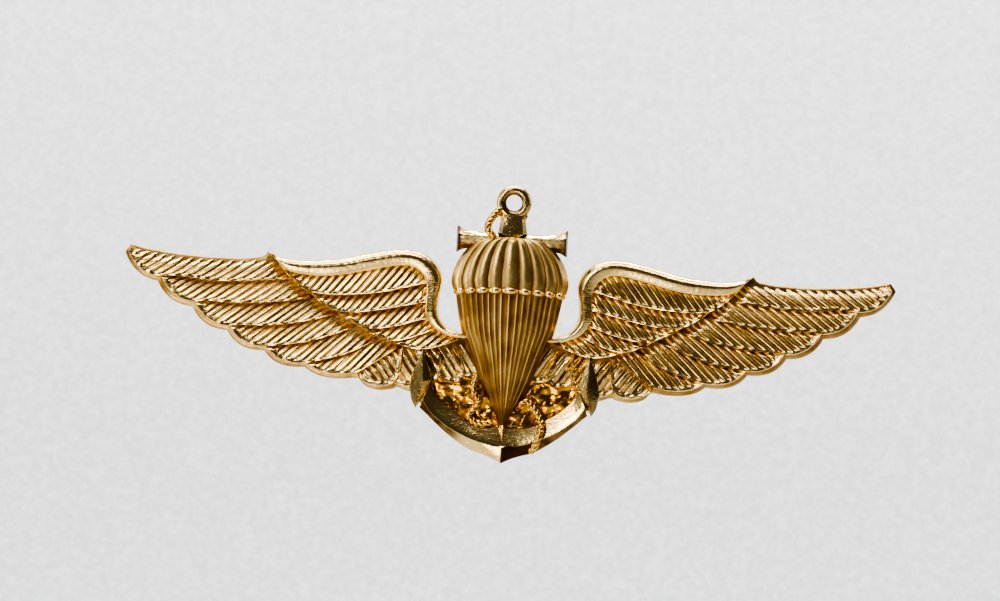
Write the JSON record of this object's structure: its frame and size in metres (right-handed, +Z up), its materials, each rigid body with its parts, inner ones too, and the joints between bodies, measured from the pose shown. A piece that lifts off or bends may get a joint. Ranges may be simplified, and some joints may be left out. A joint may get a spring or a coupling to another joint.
{
  "type": "wings badge pin",
  "caption": "Gold wings badge with a fouled anchor and a parachute in relief, held on by nail posts and pinch clutches.",
  "frame": {"origin": "on the flat back of the wings, midway between the two posts", "axes": "+X to the viewer's right along the span, +Y out of the back along the posts, +Z up as worn; the face looks towards -Y"},
  "size_m": [0.07, 0.0123, 0.0253],
  "materials": {
    "gold_wings": "polished gold plate over die-struck relief",
    "gold_anchor": "bright polished gold plate",
    "gold_parachute": "gold plate, satin between the ribs",
    "gold_rope": "gold plate on twisted relief",
    "brass_nail": "drawn brass",
    "brass_clutch": "stamped bright brass",
    "brass_spring": "hard rolled spring brass"
  },
  "bodies": {
    "badge": {"wings": "gold_wings", "anchor": "gold_anchor", "upper_rope": "gold_rope", "left_rope": "gold_rope", "right_rope": "gold_rope", "parachute": "gold_parachute", "left_post": "brass_nail", "right_post": "brass_nail"},
    "left_clutch": {"left_clutch_base": "brass_clutch", "left_clutch_cap": "brass_clutch"},
    "left_clutch_right_ear": {"left_clutch_right_leaf": "brass_spring"},
    "left_clutch_left_ear": {"left_clutch_left_leaf": "brass_spring"},
    "right_clutch": {"right_clutch_base": "brass_clutch", "right_clutch_cap": "brass_clutch"},
    "right_clutch_right_ear": {"right_clutch_right_leaf": "brass_spring"},
    "right_clutch_left_ear": {"right_clutch_left_leaf": "brass_spring"}
  },
  "joints": [
    {"name": "left_clutch_slide", "type": "slide", "parent": "badge", "child": "left_clutch", "axis": [0, 1, 0], "range_m": [-0.0012, 0.009]},
    {"name": "left_clutch_pinch", "type": "hinge", "parent": "left_clutch", "child": "left_clutch_right_ear", "pos_m": [-0.0098, 0.00328, 0], "axis": [0, 0, 1], "range_deg": [0, 7], "stiffness_Nm_per_rad": 0.01},
    {"name": "left_clutch_pinch_follow", "type": "hinge", "parent": "left_clutch", "child": "left_clutch_left_ear", "pos_m": [-0.0162, 0.00428, 0], "axis": [0, 0, -1], "range_deg": [0, 7], "stiffness_Nm_per_rad": 0.01},
    {"name": "right_clutch_slide", "type": "slide", "parent": "badge", "child": "right_clutch", "axis": [0, 1, 0], "range_m": [-0.0012, 0.009]},
    {"name": "right_clutch_pinch", "type": "hinge", "parent": "right_clutch", "child": "right_clutch_right_ear", "pos_m": [0.0162, 0.00328, 0], "axis": [0, 0, 1], "range_deg": [0, 7], "stiffness_Nm_per_rad": 0.01},
    {"name": "right_clutch_pinch_follow", "type": "hinge", "parent": "right_clutch", "child": "right_clutch_left_ear", "pos_m": [0.0098, 0.00428, 0], "axis": [0, 0, -1], "range_deg": [0, 7], "stiffness_Nm_per_rad": 0.01}
  ],
  "couplings": [
    {"joint": "left_clutch_pinch_follow", "follows": "left_clutch_pinch", "ratio": 1},
    {"joint": "right_clutch_pinch_follow", "follows": "right_clutch_pinch", "ratio": 1}
  ]
}
